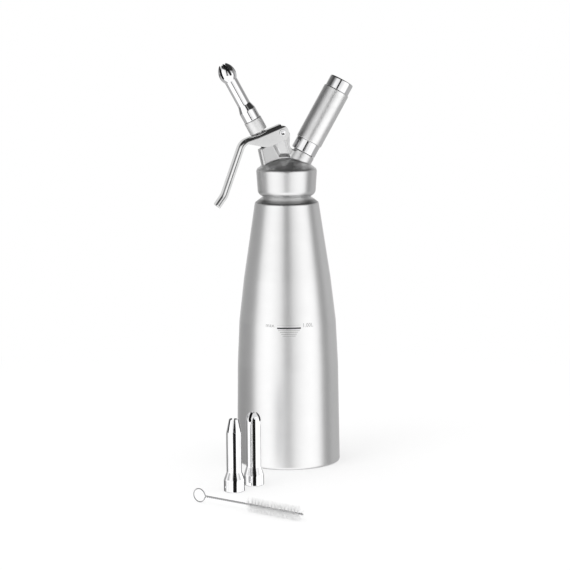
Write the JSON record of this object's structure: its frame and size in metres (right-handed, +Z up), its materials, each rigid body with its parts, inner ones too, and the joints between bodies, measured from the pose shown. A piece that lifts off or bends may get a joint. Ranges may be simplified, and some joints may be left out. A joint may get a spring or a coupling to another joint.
{
  "type": "cream whipper",
  "caption": "Steel cream whipper: tapered bottle with a screw-on domed head, press lever, toothed nozzle and angled gas charger holder, with loose spare nozzles and a wire cleaning brush.",
  "frame": {"origin": "centre of the bottle's base, on the plane it stands on", "axes": "+Z up along the bottle's axis, -X towards the lever and the nozzle arm, +X towards the charger holder, the spare nozzles and the brush lie towards -X and -Y"},
  "size_m": [0.1809, 0.3043, 0.3898],
  "materials": {
    "bottle_steel": "fine satin, turned lengthways light bands",
    "head_steel": "satin skirt, polished dome",
    "lever_steel": "pressed sheet, half polished",
    "satin_steel": "brushed round the axis",
    "polished_steel": "mirror polished",
    "inner_steel": "plain machined",
    "dark_rubber": "plain moulded",
    "guide_plastic": "plain moulded",
    "charger_steel": "zinc grey",
    "wire_steel": "drawn wire",
    "bristle_plastic": "white filament"
  },
  "bodies": {
    "bottle": {"bottle_shell": "bottle_steel"},
    "head": {"head_body": "head_steel", "head_gasket": "dark_rubber", "stem_guide": "guide_plastic", "stem_oring": "dark_rubber", "return_spring": "wire_steel", "pivot_pin": "polished_steel", "check_valve": "dark_rubber", "piercing_pin": "inner_steel", "charger_seal": "dark_rubber"},
    "lever": {"lever": "lever_steel"},
    "valve": {"valve_stem": "inner_steel", "valve_seal": "dark_rubber", "spring_cap": "inner_steel", "nozzle_adapter": "satin_steel", "adapter_seal": "dark_rubber"},
    "nozzle": {"tulip_nozzle": "polished_steel", "tulip_insert": "inner_steel"},
    "holder": {"charger_holder": "polished_steel", "holder_sleeve": "satin_steel", "holder_cap": "polished_steel", "holder_cushion": "dark_rubber", "gas_charger": "charger_steel"},
    "spare_straight": {"straight_nozzle": "polished_steel", "straight_insert": "inner_steel"},
    "spare_star": {"star_nozzle": "polished_steel", "star_insert": "inner_steel"},
    "brush": {"brush_wire": "wire_steel", "brush_bristles": "bristle_plastic"}
  },
  "joints": [
    {"name": "head_lift", "type": "slide", "parent": "bottle", "child": "head", "axis": [0, 0, 1], "range_m": [0, 0.12]},
    {"name": "lever_press", "type": "hinge", "parent": "head", "child": "lever", "pos_m": [-0.005, 0, 0.32267], "axis": [0, -1, 0], "range_deg": [0, 12], "stiffness_Nm_per_rad": 3, "springref_deg": -8.59, "deforming": ["return_spring"]},
    {"name": "valve_slide", "type": "slide", "parent": "head", "child": "valve", "axis": [0.4772, 0, -0.8788], "range_m": [0, 0.004], "deforming": ["return_spring"]},
    {"name": "nozzle_off", "type": "slide", "parent": "valve", "child": "nozzle", "axis": [-0.4772, 0, 0.8788], "range_m": [0, 0.05]},
    {"name": "holder_off", "type": "slide", "parent": "head", "child": "holder", "axis": [0.4924, 0, 0.8704], "range_m": [0, 0.07]},
    {"name": "straight_lift", "type": "slide", "parent": "bottle", "child": "spare_straight", "axis": [0, 0, 1], "range_m": [0, 0.1]},
    {"name": "star_lift", "type": "slide", "parent": "bottle", "child": "spare_star", "axis": [0, 0, 1], "range_m": [0, 0.1]},
    {"name": "brush_lift", "type": "slide", "parent": "bottle", "child": "brush", "axis": [0, 0, 1], "range_m": [0, 0.1]}
  ],
  "couplings": [
    {"joint": "valve_slide", "follows": "lever_press", "m_per_rad": 0.018897}
  ]
}
